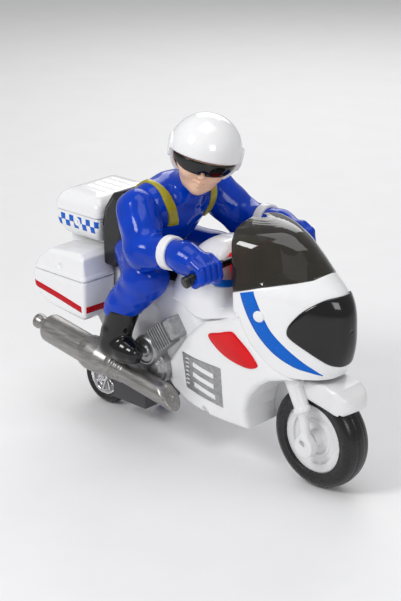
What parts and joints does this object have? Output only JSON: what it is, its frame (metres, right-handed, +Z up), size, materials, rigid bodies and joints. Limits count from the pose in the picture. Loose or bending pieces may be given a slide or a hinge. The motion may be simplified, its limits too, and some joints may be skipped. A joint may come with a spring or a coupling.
{
  "type": "toy motorcycle with rider",
  "caption": "Plastic pull-back toy motorcycle with a seated rider, luggage boxes, steering fork, turning head and fold-out side stand.",
  "frame": {"origin": "bottom centre of the bounding box, on the ground under the middle of the machine", "axes": "+X forward, +Y to the motorcycle's left, +Z up"},
  "size_m": [0.2149, 0.0944, 0.182],
  "materials": {
    "white_gloss": "glossy moulded ABS",
    "white_plain": "satin moulded plastic",
    "smoke_clear": "smoked transparent styrene",
    "black_gloss": "glossy black plastic",
    "red_gloss": "glossy red plastic",
    "silver_paint": "metallic silver lacquer on plastic",
    "chrome": "vacuum-plated plastic",
    "tyre_rubber": "soft black PVC",
    "steel": "zinc-plated steel",
    "motor_plastic": "black moulded plastic",
    "gear_plastic": "natural acetal",
    "blue_gloss": "glossy blue plastic",
    "cuff_white": "white lacquer",
    "strap_olive": "olive yellow lacquer",
    "skin": "flesh-coloured vinyl"
  },
  "bodies": {
    "frame": {"air_grille_left": "silver_paint", "air_grille_right": "silver_paint", "arm_left": "blue_gloss", "arm_right": "blue_gloss", "backpack": "black_gloss", "body_screws": "steel", "body_shell_left": "white_gloss", "body_shell_right": "white_gloss", "boot_left": "black_gloss", "boot_right": "black_gloss", "cuff_left": "cuff_white", "cuff_right": "cuff_white", "dash_panel": "red_gloss", "engine_left": "silver_paint", "engine_right": "silver_paint", "exhaust_left": "silver_paint", "exhaust_right": "silver_paint", "glove_left": "blue_gloss", "glove_right": "blue_gloss", "grip_left": "black_gloss", "grip_right": "black_gloss", "handlebar": "black_gloss", "headlight_cover": "black_gloss", "idler_pin": "steel", "luggage_rack": "white_gloss", "mainspring": "steel", "motor_case_left": "motor_plastic", "motor_case_right": "motor_plastic", "nose_cowl": "white_gloss", "pack_straps": "strap_olive", "rider_jacket": "blue_gloss", "rider_trousers": "blue_gloss", "saddle": "black_gloss", "saddlebag_left": "white_gloss", "saddlebag_lid_left": "white_gloss", "saddlebag_lid_right": "white_gloss", "saddlebag_right": "white_gloss", "side_lens_left": "red_gloss", "side_lens_right": "red_gloss", "stand_pin": "steel", "steering_head": "white_plain", "top_box": "white_gloss", "top_box_lid": "white_gloss", "windscreen": "smoke_clear"},
    "fork": {"fork": "white_plain", "front_mudguard": "white_plain", "front_axle_pin": "steel", "stem_screw": "steel"},
    "front_wheel": {"front_tyre": "tyre_rubber", "front_hub": "white_plain"},
    "rear_wheel": {"rear_tyre": "tyre_rubber", "rear_hub": "chrome", "rear_axle": "steel", "axle_pinion": "gear_plastic"},
    "idler": {"idler_gear": "gear_plastic"},
    "barrel": {"barrel_gear": "gear_plastic"},
    "stand": {"side_stand": "blue_gloss"},
    "head": {"rider_head": "skin", "helmet": "white_gloss", "sunglasses": "black_gloss"}
  },
  "joints": [
    {"name": "steering", "type": "hinge", "parent": "frame", "child": "fork", "pos_m": [0.069, 0, 0.057], "axis": [-0.342, 0, 0.9397], "range_deg": [-12, 12]},
    {"name": "front_wheel_spin", "type": "hinge", "parent": "fork", "child": "front_wheel", "pos_m": [0.08, 0, 0.0275], "axis": [0, 1, 0], "continuous": true},
    {"name": "rear_wheel_spin", "type": "hinge", "parent": "frame", "child": "rear_wheel", "pos_m": [-0.08, 0, 0.0161], "axis": [0, 1, 0], "continuous": true},
    {"name": "idler_spin", "type": "hinge", "parent": "frame", "child": "idler", "pos_m": [-0.06767, 0.009, 0.02108], "axis": [0, 1, 0], "continuous": true},
    {"name": "barrel_spin", "type": "hinge", "parent": "frame", "child": "barrel", "pos_m": [-0.04965, 0.009, 0.02362], "axis": [0, 1, 0], "continuous": true},
    {"name": "stand_fold", "type": "hinge", "parent": "frame", "child": "stand", "pos_m": [-0.0508, 0.0154, 0.031], "axis": [0, 1, 0], "range_deg": [0, 75]},
    {"name": "head_turn", "type": "hinge", "parent": "frame", "child": "head", "pos_m": [0.001, 0, 0.163], "axis": [0.3746, 0, 0.9272], "range_deg": [-25, 90]}
  ],
  "couplings": [
    {"joint": "idler_spin", "follows": "rear_wheel_spin", "ratio": -0.72727},
    {"joint": "barrel_spin", "follows": "rear_wheel_spin", "ratio": 0.53333}
  ]
}
